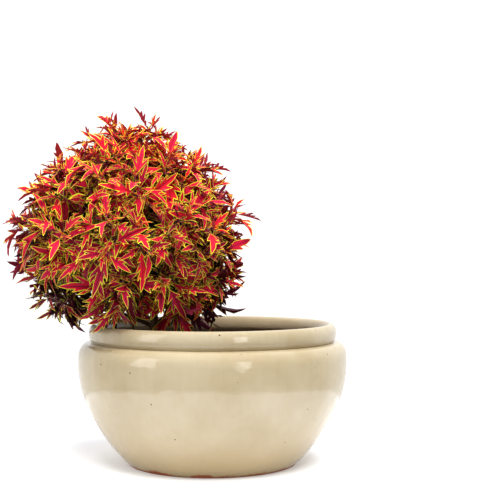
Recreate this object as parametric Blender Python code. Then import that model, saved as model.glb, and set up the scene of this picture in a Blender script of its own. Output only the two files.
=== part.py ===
"""A coleus growing in a wide glazed bowl planter.

The bowl is turned from one profile and filled with potting mix.  The plant is one main stem with
opposite pairs of side stems, and each of those carries one mass of foliage.  Lengths are in metres,
+Z is up, and the origin is the middle of the bowl's flat underside.
"""

import math

import bmesh
import bpy
from mathutils import Vector, noise

# Bowl
FOOT_RADIUS = 0.134
FOOT_CHAMFER = 0.002
BELLY_RADIUS = 0.2135
BELLY_HEIGHT = 0.160
SHOULDER_HEIGHT = 0.170
NECK_RADIUS = 0.198
NECK_HEIGHT = 0.192
LIP_HALF_WIDTH = 0.0085
LIP_HALF_HEIGHT = 0.0150
LIP_CENTRE_RADIUS = 0.1885
LIP_CENTRE_HEIGHT = 0.207
WALL = 0.010
FLOOR = 0.014
RIM_HEIGHT = LIP_CENTRE_HEIGHT + LIP_HALF_HEIGHT
TURN_STEPS = 40
SIDE_STEPS = 6
SHOULDER_STEPS = 4
SHOULDER_END = math.radians(84)
LIP_STEPS = 6
LIP_FIRST = math.radians(-62)
LIP_LAST = math.radians(205)
INNER_SIDE_STEPS = 4
INNER_SHOULDER_STEPS = 2
INNER_SHOULDER_END = math.radians(72)
SHARP_EDGE = math.radians(40)

# Potting mix
MIX_TOP = 0.194
MIX_ROUGHNESS = 0.0022
MIX_RINGS = 4
MIX_NOISE_SCALE = 22
LEVEL_RADIUS = 0.035
LEVEL_BLEND = 0.030
SEAT_GAP = 0.0003
WALL_GAP = 0.0006
STEM_CUT_GAP = 0.0004

# Plant
STEM_FOOT = Vector((-0.095, 0.010, MIX_TOP + SEAT_GAP))
STEM_TOP = Vector((-0.140, 0.000, 0.500))
STEM_BOW = 0.014
FLARE_RADIUS = 0.0095
STEM_RADIUS = 0.0066
STEM_TIP_RADIUS = 0.0036
FLARE_HEIGHT = 0.014
BOUGH_RADIUS = 0.0032
BOUGH_TIP_RADIUS = 0.0020
STEM_SIDES = 12
BOUGH_SIDES = 6
STEM_RINGS = 9
BOUGH_RINGS = 5
CROWN_CENTRE = Vector((-0.142, 0.0, 0.372))
CROWN_SEMI = Vector((0.186, 0.182, 0.183))
PAD_DEPTH = 0.040
PAD_REACH = 0.79
PAD_GAP = 0.005
PAD_ROUGHNESS = 0.26
PAD_NOISE_SCALE = 2.3
PAD_SEED_SCALE = 40
PAD_CUT_GROWTH = 1.011
NEIGHBOUR_SPAN = 2.6
ABOVE_RIM = RIM_HEIGHT + 0.0045
UPPER_PADS = 6
UPPER_TILT = math.radians(35)
UPPER_REACH = 0.69
UPPER_HALF_SIZE = 0.079
UPPER_LIFT = 0.004
LOWER_PADS = 8
LOWER_TILT = math.radians(-19)
LOWER_HALF_WIDTH = 0.074
LOWER_HALF_HEIGHT = 0.096
LOWER_LIFT = 0.012
HANGING_SIDE = math.radians(180)
HANGING_SPREAD = math.radians(50)
HANGING_CENTRE = Vector((-0.256, 0.050, 0.244))
HANGING_OUTWARD = Vector((-1.0, 0.3, -0.2))
HANGING_SEMI = (0.046, 0.066, 0.046)
HANGING_LIFT = 0.030
HANGING_TOP = 0.276
HANGING_BOTTOM = 0.212
HANGING_INNER_X = -0.2065

# Stem nodes: the first pair of side stems, and the step from each pair to the next
FIRST_NODE = 0.236
NODE_STEP = 0.0225
BASAL_NODES = {"front": 0.2145, "back": 0.2250}


def clear_scene():
    """Removes every object that the scene holds."""
    for item in list(bpy.data.objects):
        bpy.data.objects.remove(item)


def make_material(name, colour, roughness):
    """Makes a plain non-metal of one linear colour."""
    material = bpy.data.materials.new(name)
    material.use_nodes = True
    shader = material.node_tree.nodes["Principled BSDF"]
    shader.inputs["Base Color"].default_value = (*colour, 1.0)
    shader.inputs["Roughness"].default_value = roughness
    shader.inputs["Metallic"].default_value = 0.0
    return material


def object_from(name, mesh_builder, material=None):
    """Turns a bmesh into a linked object and frees it."""
    mesh = bpy.data.meshes.new(name)
    mesh_builder.to_mesh(mesh)
    mesh_builder.free()
    if material is not None:
        mesh.materials.append(material)
    made = bpy.data.objects.new(name, mesh)
    bpy.context.scene.collection.objects.link(made)
    return made


def make_cutter(name, mesh_builder):
    """Turns a bmesh into an object that only cuts others and is not a part itself."""
    cutter = object_from(name, mesh_builder)
    cutter.hide_render = True
    cutter.display_type = "WIRE"
    return cutter


def cut(target, cutter):
    """Takes the cutter's shape away from the target."""
    modifier = target.modifiers.new(cutter.name, "BOOLEAN")
    modifier.operation = "DIFFERENCE"
    modifier.object = cutter


# ---------------------------------------------------------------- bowl and potting mix


def side_radius(height):
    """Outer radius of the bowl between its foot and its belly: a parabola, upright at the belly."""
    share = height / BELLY_HEIGHT
    return FOOT_RADIUS + (BELLY_RADIUS - FOOT_RADIUS) * (1 - (1 - share) ** 2)


def shoulder_point(angle):
    """Outer point on the shoulder, a quarter of an ellipse from the belly in to the neck."""
    radius = NECK_RADIUS + (BELLY_RADIUS - NECK_RADIUS) * math.cos(angle)
    return radius, SHOULDER_HEIGHT + (NECK_HEIGHT - SHOULDER_HEIGHT) * math.sin(angle)


def lip_point(angle):
    """Point on the rolled lip's ellipse."""
    return (
        LIP_CENTRE_RADIUS + LIP_HALF_WIDTH * math.cos(angle),
        LIP_CENTRE_HEIGHT + LIP_HALF_HEIGHT * math.sin(angle),
    )


def outer_profile():
    """Radius and height of the outer wall, from the middle of the underside to the neck."""
    points = [(0.0, 0.0), (FOOT_RADIUS - FOOT_CHAMFER, 0.0)]
    for step in range(SIDE_STEPS + 1):
        height = FOOT_CHAMFER + (BELLY_HEIGHT - FOOT_CHAMFER) * step / SIDE_STEPS
        points.append((side_radius(height), height))
    for step in range(SHOULDER_STEPS + 1):
        points.append(shoulder_point(SHOULDER_END * step / SHOULDER_STEPS))
    return points


def lip_profile():
    """The rolled lip, from the groove under it over the top to the inside."""
    turn = (LIP_LAST - LIP_FIRST) / LIP_STEPS
    return [lip_point(LIP_FIRST + turn * step) for step in range(LIP_STEPS + 1)]


def inner_profile():
    """The inside wall, from under the lip down to the edge of the floor."""
    points = []
    for step in range(INNER_SHOULDER_STEPS, -1, -1):
        radius, height = shoulder_point(INNER_SHOULDER_END * step / INNER_SHOULDER_STEPS)
        points.append((radius - WALL, height))
    for step in range(1, INNER_SIDE_STEPS + 1):
        height = BELLY_HEIGHT + (FLOOR - BELLY_HEIGHT) * step / INNER_SIDE_STEPS
        points.append((side_radius(height) - WALL, height))
    return points


def turned(profile):
    """A closed solid turned about Z from (radius, height) points that start and end on the axis."""
    build = bmesh.new()
    points = [build.verts.new((radius, 0.0, height)) for radius, height in profile]
    edges = [build.edges.new(pair) for pair in zip(points, points[1:])]
    bmesh.ops.spin(
        build, geom=points + edges, cent=(0, 0, 0), axis=(0, 0, 1),
        angle=2 * math.pi, steps=TURN_STEPS, use_merge=True,
    )
    bmesh.ops.remove_doubles(build, verts=build.verts, dist=1e-6)
    bmesh.ops.recalc_face_normals(build, faces=build.faces)
    return build


def make_pot(material):
    """Turns the bowl, smooth but for its foot's edge and its groove."""
    profile = outer_profile() + lip_profile() + inner_profile() + [(0.0, FLOOR)]
    pot = object_from("pot", turned(profile), material)
    pot.data.shade_smooth()
    pot.data.set_sharp_from_angle(angle=SHARP_EDGE)
    return pot


def make_potting_mix(material):
    """Fills the bowl to MIX_TOP with an uneven top that is level where the stem stands."""
    wall = lip_profile()[-1:] + inner_profile()
    sides = [(radius - WALL_GAP, height) for radius, height in wall if height < MIX_TOP]
    above = [point for point in wall if point[1] >= MIX_TOP][-1]
    below = wall[wall.index(above) + 1]
    share = (MIX_TOP - below[1]) / (above[1] - below[1])
    edge = below[0] + (above[0] - below[0]) * share - WALL_GAP
    sides[-1] = (sides[-1][0], FLOOR + SEAT_GAP)
    top = [(edge * ring / MIX_RINGS, MIX_TOP) for ring in range(MIX_RINGS + 1)]
    build = turned(top + sides + [(0.0, FLOOR + SEAT_GAP)])
    for vert in build.verts:
        if vert.co.z < MIX_TOP - 1e-5:
            continue
        away = (vert.co.xy - STEM_FOOT.xy).length
        level = min(1.0, max(0.0, (away - LEVEL_RADIUS) / LEVEL_BLEND))
        vert.co.z -= level * MIX_ROUGHNESS * (1 + noise.noise(vert.co * MIX_NOISE_SCALE))
    return object_from("potting_mix", build, material)


# ---------------------------------------------------------------- stems


def limb(points, radii, sides):
    """A tapering round limb through the points, with a flat cap at each end."""
    build = bmesh.new()
    rings = []
    for index, (point, radius) in enumerate(zip(points, radii)):
        before, after = points[max(index - 1, 0)], points[min(index + 1, len(points) - 1)]
        along = (after - before).normalized()
        across = along.cross(Vector((0, 1, 0))).normalized()
        other = along.cross(across)
        ring = []
        for side in range(sides):
            turn = 2 * math.pi * side / sides
            ring.append(build.verts.new(point + radius * (math.cos(turn) * across + math.sin(turn) * other)))
        rings.append(ring)
    for low, high in zip(rings, rings[1:]):
        for side in range(sides):
            after = (side + 1) % sides
            build.faces.new((low[side], low[after], high[after], high[side]))
    build.faces.new(rings[0])
    build.faces.new(rings[-1])
    bmesh.ops.recalc_face_normals(build, faces=build.faces)
    return build


def stem_axis(height):
    """Point on the main stem's axis at a height: it leans and bows a little."""
    share = (height - STEM_FOOT.z) / (STEM_TOP.z - STEM_FOOT.z)
    point = STEM_FOOT.lerp(STEM_TOP, share)
    point.x += STEM_BOW * math.sin(math.pi * share)
    point.z = height
    return point


def stem_radius(height):
    """Radius of the main stem at a height: it tapers upwards and flares at its foot."""
    share = (height - STEM_FOOT.z) / (STEM_TOP.z - STEM_FOOT.z)
    flare = max(0.0, 1 - (height - STEM_FOOT.z) / FLARE_HEIGHT) ** 2
    straight = STEM_RADIUS + (STEM_TIP_RADIUS - STEM_RADIUS) * share
    return straight + (FLARE_RADIUS - STEM_RADIUS) * flare


def stem_build(extra=0.0):
    """The main stem, with a level cut at its foot; extra grows it for use as a cutter."""
    low, high = STEM_FOOT.z, STEM_TOP.z
    heights = [low, low + FLARE_HEIGHT / 2, low + FLARE_HEIGHT]
    heights += [low + FLARE_HEIGHT + (high - low - FLARE_HEIGHT) * ring / STEM_RINGS
                for ring in range(1, STEM_RINGS + 1)]
    points = [stem_axis(height) for height in heights]
    radii = [stem_radius(height) + extra for height in heights]
    build = limb(points, radii, STEM_SIDES)
    for vert in build.verts:
        if (vert.co - points[0]).length < FLARE_RADIUS * 1.1 and vert.co.z < low + FLARE_HEIGHT / 4:
            vert.co.z = low
    return build


def bough_build(start, end, lift):
    """A side stem: it leaves the main stem, rises, and bends over to the foliage it carries."""
    middle = start.lerp(end, 0.5) + Vector((0, 0, lift))
    points, radii = [], []
    for ring in range(BOUGH_RINGS + 1):
        share = ring / BOUGH_RINGS
        points.append(start.lerp(middle, share).lerp(middle.lerp(end, share), share))
        radii.append(BOUGH_RADIUS + (BOUGH_TIP_RADIUS - BOUGH_RADIUS) * share)
    return limb(points, radii, BOUGH_SIDES)


# ---------------------------------------------------------------- foliage


class Pad:
    """One mass of foliage: where it is, its half sizes, and the planes that it stays behind."""

    def __init__(self, name, centre, outward, semi, lowest, node=None, lift=0.0):
        """Sets the mass up, with node the height on the main stem where its side stem starts."""
        self.name = name
        self.centre = centre
        self.outward = outward.normalized()
        self.side = self.outward.orthogonal().normalized()
        if abs(self.outward.z) < 0.95:
            self.side = Vector((0, 0, 1)).cross(self.outward).normalized()
        self.up = self.outward.cross(self.side)
        self.semi = semi
        self.planes = [(Vector((0, 0, -1)), centre.z - lowest)]
        self.node = node
        self.lift = lift

    def keep_off(self, other):
        """Stays on its own side of the plane half way to another mass."""
        away = other.centre - self.centre
        self.planes.append((away.normalized(), away.length / 2 - PAD_GAP / 2))

    def reach(self, way):
        """How far the surface lies from the centre in one direction."""
        shares = (way.dot(self.outward), way.dot(self.side), way.dot(self.up))
        squares = [(share / size) ** 2 for share, size in zip(shares, self.semi)]
        seed = self.centre * PAD_SEED_SCALE
        rough = 1 + PAD_ROUGHNESS * noise.noise(way * PAD_NOISE_SCALE + seed)
        far = rough / math.sqrt(sum(squares))
        for normal, distance in self.planes:
            facing = way.dot(normal)
            if facing > 1e-4:
                far = min(far, distance / facing)
        return far

    def build(self, grow=1.0):
        """The mass as a closed ball of triangles; grow enlarges it for use as a cutter."""
        build = bmesh.new()
        bmesh.ops.create_icosphere(build, subdivisions=3, radius=1.0)
        for vert in build.verts:
            way = vert.co.normalized()
            vert.co = self.centre + way * self.reach(way) * grow
        return build


def on_crown(azimuth, tilt):
    """A direction from the crown's middle, scaled to the crown's half sizes."""
    way = Vector((math.cos(tilt) * math.cos(azimuth), math.cos(tilt) * math.sin(azimuth), math.sin(tilt)))
    return Vector([share * size for share, size in zip(way, CROWN_SEMI)])


def plan_pads():
    """The masses: one on top, a ring above the middle, a ring below it, and two that hang over the rim."""
    top_way = on_crown(0, math.pi / 2)
    top_semi = (PAD_DEPTH, UPPER_HALF_SIZE, UPPER_HALF_SIZE)
    top = Pad("foliage_top", CROWN_CENTRE + PAD_REACH * top_way, top_way, top_semi, ABOVE_RIM)
    pads = [top]
    for index in range(LOWER_PADS):
        azimuth = 2 * math.pi * index / LOWER_PADS
        way = on_crown(azimuth, LOWER_TILT)
        over_rim = abs(azimuth - HANGING_SIDE) < HANGING_SPREAD
        lowest = HANGING_TOP if over_rim else ABOVE_RIM
        node = FIRST_NODE + NODE_STEP * (index % (LOWER_PADS // 2))
        pads.append(Pad(f"foliage_lower_{index + 1}", CROWN_CENTRE + PAD_REACH * way, way,
                        (PAD_DEPTH, LOWER_HALF_WIDTH, LOWER_HALF_HEIGHT), lowest, node, LOWER_LIFT))
    for index in range(UPPER_PADS):
        azimuth = 2 * math.pi * (index + 0.5) / UPPER_PADS
        way = on_crown(azimuth, UPPER_TILT)
        node = FIRST_NODE + NODE_STEP * (LOWER_PADS // 2 + index % (UPPER_PADS // 2))
        pads.append(Pad(f"foliage_upper_{index + 1}", CROWN_CENTRE + UPPER_REACH * way, way,
                        (PAD_DEPTH, UPPER_HALF_SIZE, UPPER_HALF_SIZE), ABOVE_RIM, node, UPPER_LIFT))
    for name, side in (("front", -1), ("back", 1)):
        centre = HANGING_CENTRE * Vector((1, side, 1))
        outward = HANGING_OUTWARD * Vector((1, side, 1))
        pad = Pad(f"foliage_hanging_{name}", centre, outward, HANGING_SEMI, HANGING_BOTTOM,
                  BASAL_NODES[name], HANGING_LIFT)
        pad.planes.append((Vector((0, 0, 1)), HANGING_TOP - PAD_GAP - centre.z))
        pad.planes.append((Vector((1, 0, 0)), HANGING_INNER_X - centre.x))
        pads.append(pad)
    for pad in pads:
        for other in pads:
            near = (other.centre - pad.centre).length < NEIGHBOUR_SPAN * max(pad.semi)
            apart = pad.name.startswith("foliage_hanging") == other.name.startswith("foliage_hanging")
            if other is not pad and near and apart:
                pad.keep_off(other)
    return pads


def make_plant(stem_material, leaf_material):
    """Makes the main stem, the foliage masses and the side stem that carries each of them."""
    stem = object_from("main_stem", stem_build(), stem_material)
    stem_cutter = make_cutter("stem_cutter", stem_build(STEM_CUT_GAP))
    for pad in plan_pads():
        object_from(pad.name, pad.build(), leaf_material)
        pad_cutter = make_cutter(f"{pad.name}_cutter", pad.build(grow=PAD_CUT_GROWTH))
        if pad.node is None:
            cut(stem, pad_cutter)
            continue
        name = pad.name.replace("foliage", "bough")
        bough = object_from(name, bough_build(stem_axis(pad.node), pad.centre, pad.lift), stem_material)
        cut(bough, stem_cutter)
        cut(bough, pad_cutter)


def main():
    """Builds the whole row."""
    clear_scene()
    glaze = make_material("cream_glaze", (0.70, 0.60, 0.42), 0.18)
    mix = make_material("potting_mix", (0.045, 0.028, 0.018), 0.95)
    stem = make_material("coleus_stem", (0.16, 0.05, 0.06), 0.6)
    leaf = make_material("coleus_leaf", (0.50, 0.03, 0.05), 0.5)
    make_pot(glaze)
    make_potting_mix(mix)
    make_plant(stem, leaf)


main()
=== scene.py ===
"""Looks of a coleus that grows at one side of a wide cream glazed bowl.

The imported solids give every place: the bowl and the potting mix are made anew over their solids, the
stems follow the limbs' middle lines, and the leaves grow from those limbs into the foliage masses.
Lengths are in metres unless a name says mm, +Z is up, and the bowl's foot is centred on the origin.
"""

import logging
import math
from collections.abc import Iterable, Sequence
from dataclasses import dataclass, field
from enum import Enum

import bmesh
import bpy
import numpy as np
from mathutils import Matrix, Vector, noise
from numpy.typing import NDArray


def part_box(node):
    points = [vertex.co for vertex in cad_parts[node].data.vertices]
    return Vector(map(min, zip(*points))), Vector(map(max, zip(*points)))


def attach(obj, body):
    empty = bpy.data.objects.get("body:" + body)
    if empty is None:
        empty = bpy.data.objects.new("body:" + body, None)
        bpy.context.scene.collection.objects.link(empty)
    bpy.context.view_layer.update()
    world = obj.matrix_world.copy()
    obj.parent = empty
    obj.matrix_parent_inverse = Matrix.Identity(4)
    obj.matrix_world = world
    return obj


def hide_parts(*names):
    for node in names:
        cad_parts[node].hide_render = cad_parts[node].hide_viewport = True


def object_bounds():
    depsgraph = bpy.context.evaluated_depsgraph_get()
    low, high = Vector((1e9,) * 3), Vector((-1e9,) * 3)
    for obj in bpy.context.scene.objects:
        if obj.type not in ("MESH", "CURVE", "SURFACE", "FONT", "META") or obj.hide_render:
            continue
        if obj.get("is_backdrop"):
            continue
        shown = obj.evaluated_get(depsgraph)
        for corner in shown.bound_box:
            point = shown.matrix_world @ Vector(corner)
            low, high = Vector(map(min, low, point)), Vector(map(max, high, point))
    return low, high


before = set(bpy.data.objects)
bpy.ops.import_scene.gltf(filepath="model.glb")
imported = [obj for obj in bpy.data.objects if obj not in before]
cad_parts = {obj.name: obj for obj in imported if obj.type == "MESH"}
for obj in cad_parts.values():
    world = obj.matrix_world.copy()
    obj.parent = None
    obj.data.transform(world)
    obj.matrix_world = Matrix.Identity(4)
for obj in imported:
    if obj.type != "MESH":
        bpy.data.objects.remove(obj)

MM = 0.001
FULL_TURN = 2 * math.pi
QUARTER = math.pi / 2
SEED = 20
MOST_TRIANGLES = 190_000
LOG = logging.getLogger("potted_coleus")

Array = NDArray[np.float64]
Whole = NDArray[np.int64]
Flags = NDArray[np.bool_]
Socket = bpy.types.NodeSocket
Vert, Edge, Face = bmesh.types.BMVert, bmesh.types.BMEdge, bmesh.types.BMFace
Range = tuple[float, float]
Spot = tuple[float, float, float]


# ---------------------------------------------------------------- colours and nodes


def linear(code: str) -> tuple[float, float, float, float]:
    """Turns an sRGB colour, six hex digits after a hash, into linear light with an alpha of 1."""
    shares = [int(code[place:place + 2], 16) / 255 for place in (1, 3, 5)]
    bent = [share / 12.92 if share <= 0.04045 else ((share + 0.055) / 1.055) ** 2.4 for share in shares]
    return bent[0], bent[1], bent[2], 1.0


class Wiring:
    """The nodes of one material or world: its shader, and the nodes that feed it."""

    def __init__(self, owner: bpy.types.Material | bpy.types.World, shader: str) -> None:
        """Turns the owner's nodes on and finds its shader by name."""
        owner.use_nodes = True
        self.owner, self.tree = owner, owner.node_tree
        self.shader = self.tree.nodes[shader]

    def add(self, kind: str, inputs: dict[str | int, object] | None = None, output: str | int = 0,
            **settings: object) -> Socket:
        """Adds one node.

        Args:
            kind: The node's type name, without the ShaderNode that it starts with.
            inputs: Values, hex colours or sockets, by input name or number.
            output: Name or number of the output that is wanted.
            **settings: Properties to set on the node.

        Returns:
            That output.
        """
        node = self.tree.nodes.new("ShaderNode" + kind)
        for name, value in settings.items():
            setattr(node, name, value)
        self.fill(node, inputs or {})
        return node.outputs[output]

    def fill(self, node: bpy.types.Node, inputs: dict[str | int, object]) -> None:
        """Gives a node's inputs their values, hex colours or links, by input name or number."""
        for name, value in inputs.items():
            socket = node.inputs[name]
            if isinstance(value, Socket):
                self.tree.links.new(value, socket)
            else:
                socket.default_value = linear(value) if isinstance(value, str) else value

    def place(self) -> Socket:
        """Adds the place on the object, which every pattern follows."""
        return self.add("TexCoord", output="Object")

    def height(self, place: Socket) -> Socket:
        """Adds the height of a place."""
        return self.add("SeparateXYZ", {0: place}, "Z")

    def waves(self, place: Socket, size_mm: float, detail: float = 2.0, rough: float = 0.5) -> Socket:
        """Adds a noise pattern whose waves are so many mm wide."""
        return self.add("TexNoise", {"Vector": place, "Scale": 1 / (size_mm * MM), "Detail": detail,
                                     "Roughness": rough})

    def stretched(self, place: Socket, squeeze: float) -> Socket:
        """Adds a place whose height is squeezed, which draws a pattern out upwards."""
        return self.add("Mapping", {"Vector": place, "Scale": (1.0, 1.0, squeeze)})

    def math(self, operation: str, *values: object) -> Socket:
        """Adds one step of arithmetic on values or sockets."""
        return self.add("Math", dict(enumerate(values)), operation=operation)

    def vector(self, operation: str, *values: object, output: str | int = 0) -> Socket:
        """Adds one step of arithmetic on vectors."""
        return self.add("VectorMath", dict(enumerate(values)), output, operation=operation)

    def span(self, value: Socket, start: float, end: float, low: float = 0.0, high: float = 1.0,
             **settings: object) -> Socket:
        """Adds a clamped map of the span from start to end onto the one from low to high."""
        return self.add("MapRange", {"Value": value, "From Min": start, "From Max": end, "To Min": low,
                                     "To Max": high}, **settings)

    def mix(self, share: Socket, first: Socket | str, second: Socket | str) -> Socket:
        """Adds a mix of two colours."""
        return self.add("Mix", {0: share, 6: first, 7: second}, 2, data_type="RGBA")

    def bump(self, height: Socket, strength: float, depth_mm: float) -> Socket:
        """Adds relief of a depth in mm."""
        return self.add("Bump", {"Height": height, "Strength": strength, "Distance": depth_mm * MM})

    def finish(self, **values: object) -> bpy.types.Material | bpy.types.World:
        """Sets the shader's own inputs, whose names have _ for a space, and returns the owner."""
        self.fill(self.shader, {name.replace("_", " "): value for name, value in values.items()})
        return self.owner


def bare_material(name: str) -> Wiring:
    """Starts a material of this name with a bare Principled shader."""
    return Wiring(bpy.data.materials.new(name), "Principled BSDF")


# ---------------------------------------------------------------- meshes and pieces


def put(name: str, data: bpy.types.ID) -> bpy.types.Object:
    """Puts a new object with this data in the scene."""
    made = bpy.data.objects.new(name, data)
    bpy.context.scene.collection.objects.link(made)
    return made


def piece_from(name: str, mesh: bpy.types.Mesh, materials: Iterable[bpy.types.Material],
               replaced: Iterable[str]) -> None:
    """Makes a finished piece that rides on the root body.

    Args:
        name: The piece's name.
        mesh: Its mesh, in the row frame.
        materials: Its materials, in the order of the mesh's material numbers.
        replaced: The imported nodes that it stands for.
    """
    for material in materials:
        mesh.materials.append(material)
    made = put(name, mesh)
    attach(made, "root")
    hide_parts(*replaced)
    LOG.info("%s: %d faces", name, len(mesh.polygons))


def smooth(mesh: bpy.types.Mesh, sharp_degrees: float) -> bpy.types.Mesh:
    """Shades a mesh smoothly, but for edges sharper than an angle, and returns it."""
    mesh.shade_smooth()
    mesh.set_sharp_from_angle(angle=math.radians(sharp_degrees))
    return mesh


def mesh_from(name: str, build: bmesh.types.BMesh) -> bpy.types.Mesh:
    """Turns a bmesh into a mesh of this name and frees it."""
    mesh = bpy.data.meshes.new(name)
    build.to_mesh(mesh)
    build.free()
    return mesh


def everything(build: bmesh.types.BMesh) -> list[object]:
    """Lists a bmesh's points, edges and faces."""
    return build.verts[:] + build.edges[:] + build.faces[:]


def only(kind: type, items: Iterable[object]) -> list[object]:
    """Lists the items of one kind, such as the points in a bmesh operator's result."""
    return [item for item in items if isinstance(item, kind)]


def arrays(build: bmesh.types.BMesh) -> tuple[Array, Whole]:
    """Returns a bmesh's points and its triangles' point numbers."""
    build.verts.index_update()
    return (np.array([vert.co[:] for vert in build.verts]),
            np.array([[vert.index for vert in face.verts] for face in build.faces]))


def turned(profile: Sequence[Range], steps: int) -> bmesh.types.BMesh:
    """Turns a profile once round the Z axis.

    Args:
        profile: Radius and height of each point, from the axis round to the axis again.
        steps: Number of steps in the turn.

    Returns:
        A closed shape with its faces outwards.
    """
    build = bmesh.new()
    points = [build.verts.new((radius, 0.0, height)) for radius, height in profile]
    edges = [build.edges.new(pair) for pair in zip(points, points[1:])]
    bmesh.ops.spin(build, geom=points + edges, cent=(0, 0, 0), axis=(0, 0, 1),
                   angle=FULL_TURN, steps=steps, use_merge=True)
    bmesh.ops.remove_doubles(build, verts=build.verts, dist=1e-6)
    bmesh.ops.recalc_face_normals(build, faces=build.faces)
    return build


def unit(vectors: Array) -> Array:
    """Returns the vectors scaled to length 1, along their last axis."""
    return vectors / np.maximum(np.linalg.norm(vectors, axis=-1, keepdims=True), 1e-9)


def run_along(points: Array) -> Array:
    """Returns the way along a line to each of its points."""
    return np.concatenate([[0.0], np.cumsum(np.linalg.norm(np.diff(points, axis=0), axis=1))])


def around(axis: Array, side: Array, turn: float) -> Array:
    """Returns a direction across an axis, turned in radians from a side of it."""
    return side * math.cos(turn) + np.cross(axis, side) * math.sin(turn)


class Gathered:
    """Many small shapes kept as arrays and joined into pieces."""

    sharp_degrees = 70

    def __init__(self) -> None:
        """Starts with nothing."""
        self.places: list[Array] = []
        self.triangles: list[Whole] = []
        self.kinds: list[Whole] = []
        self.count = 0

    def add(self, places: Array, triangles: Whole, kinds: Whole | None = None) -> None:
        """Adds one shape, or several alike.

        Args:
            places: Points, as (points, 3), or as (shapes, points, 3) for several shapes.
            triangles: Point numbers of one shape's triangles.
            kinds: Material number of each triangle, all 0 if left out.
        """
        places = places.reshape((-1, *places.shape[-2:]))
        shapes, points = places.shape[:2]
        starts = self.count + points * np.arange(shapes)
        self.places.append(places.reshape(-1, 3))
        self.triangles.append((triangles[None] + starts[:, None, None]).reshape(-1, 3))
        kinds = np.zeros(len(triangles), np.int64) if kinds is None else kinds
        self.kinds.append(np.tile(kinds, shapes))
        self.count += shapes * points

    def mesh(self, name: str, first: int, last: int) -> bpy.types.Mesh:
        """Joins some of the shapes into one mesh.

        Args:
            name: The mesh's name.
            first: Number of the first gathered lot.
            last: Number after that of the last one.

        Returns:
            The new mesh, smooth but for its sharp edges.
        """
        places = np.concatenate(self.places[first:last])
        triangles = np.concatenate(self.triangles[first:last])
        triangles = triangles - sum(len(lot) for lot in self.places[:first])
        mesh = bpy.data.meshes.new(name)
        mesh.vertices.add(len(places))
        mesh.vertices.foreach_set("co", places.astype(np.float32).ravel())
        mesh.loops.add(triangles.size)
        mesh.loops.foreach_set("vertex_index", triangles.astype(np.int32).ravel())
        mesh.polygons.add(len(triangles))
        mesh.polygons.foreach_set("loop_start", np.arange(0, triangles.size, 3, dtype=np.int32))
        kinds = np.concatenate(self.kinds[first:last]).astype(np.int32)
        mesh.polygons.foreach_set("material_index", kinds)
        mesh.update(calc_edges=True)
        return smooth(mesh, self.sharp_degrees)

    def pieces(self, name: str, materials: Sequence[bpy.types.Material], replaced: Iterable[str],
               slot: str) -> None:
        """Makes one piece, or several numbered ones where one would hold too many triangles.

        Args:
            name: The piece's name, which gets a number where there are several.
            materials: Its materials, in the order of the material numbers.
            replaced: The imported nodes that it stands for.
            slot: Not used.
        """
        if not self.places:
            return
        cuts, held = [0], 0
        for number, lot in enumerate(self.triangles):
            if held + len(lot) > MOST_TRIANGLES:
                cuts.append(number)
                held = 0
            held += len(lot)
        cuts.append(len(self.triangles))
        for number, (first, last) in enumerate(zip(cuts, cuts[1:]), start=1):
            full = name if len(cuts) == 2 else f"{name}_{number}"
            piece_from(full, self.mesh(full, first, last), materials, replaced)


def tube(points: Array, radii: Sequence[float], sides: int) -> tuple[Array, Whole]:
    """A closed round tube through some points.

    Args:
        points: Middle points, one row each.
        radii: Radius at each point.
        sides: Number of sides.

    Returns:
        The tube's points, and its triangles facing outwards.
    """
    along = unit(np.gradient(points, axis=0))
    helper = np.eye(3)[np.argmin(np.abs(along[0]))]
    across = [unit(np.cross(along[0], helper))]
    for way in along[1:]:
        across.append(unit(across[-1] - way * (across[-1] @ way)))
    first = np.array(across)
    second = np.cross(along, first)
    turns = 2 * np.pi * np.arange(sides) / sides
    ring = np.cos(turns)[None, :, None] * first[:, None] + np.sin(turns)[None, :, None] * second[:, None]
    places = points[:, None] + ring * np.asarray(radii)[:, None, None]
    around_ring = np.arange(sides)[None]
    low = (sides * np.arange(len(points) - 1))[:, None] + around_ring
    near = low - around_ring + (around_ring + 1) % sides
    walls = [np.stack([low, near, near + sides], -1), np.stack([low, near + sides, low + sides], -1)]
    fan = np.arange(1, sides - 1)
    start = np.stack([0 * fan, fan + 1, fan], -1)
    end = np.stack([0 * fan, fan, fan + 1], -1) + sides * (len(points) - 1)
    triangles = np.concatenate([walls[0].reshape(-1, 3), walls[1].reshape(-1, 3), start, end])
    return places.reshape(-1, 3), triangles


# ---------------------------------------------------------------- finishes


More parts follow.
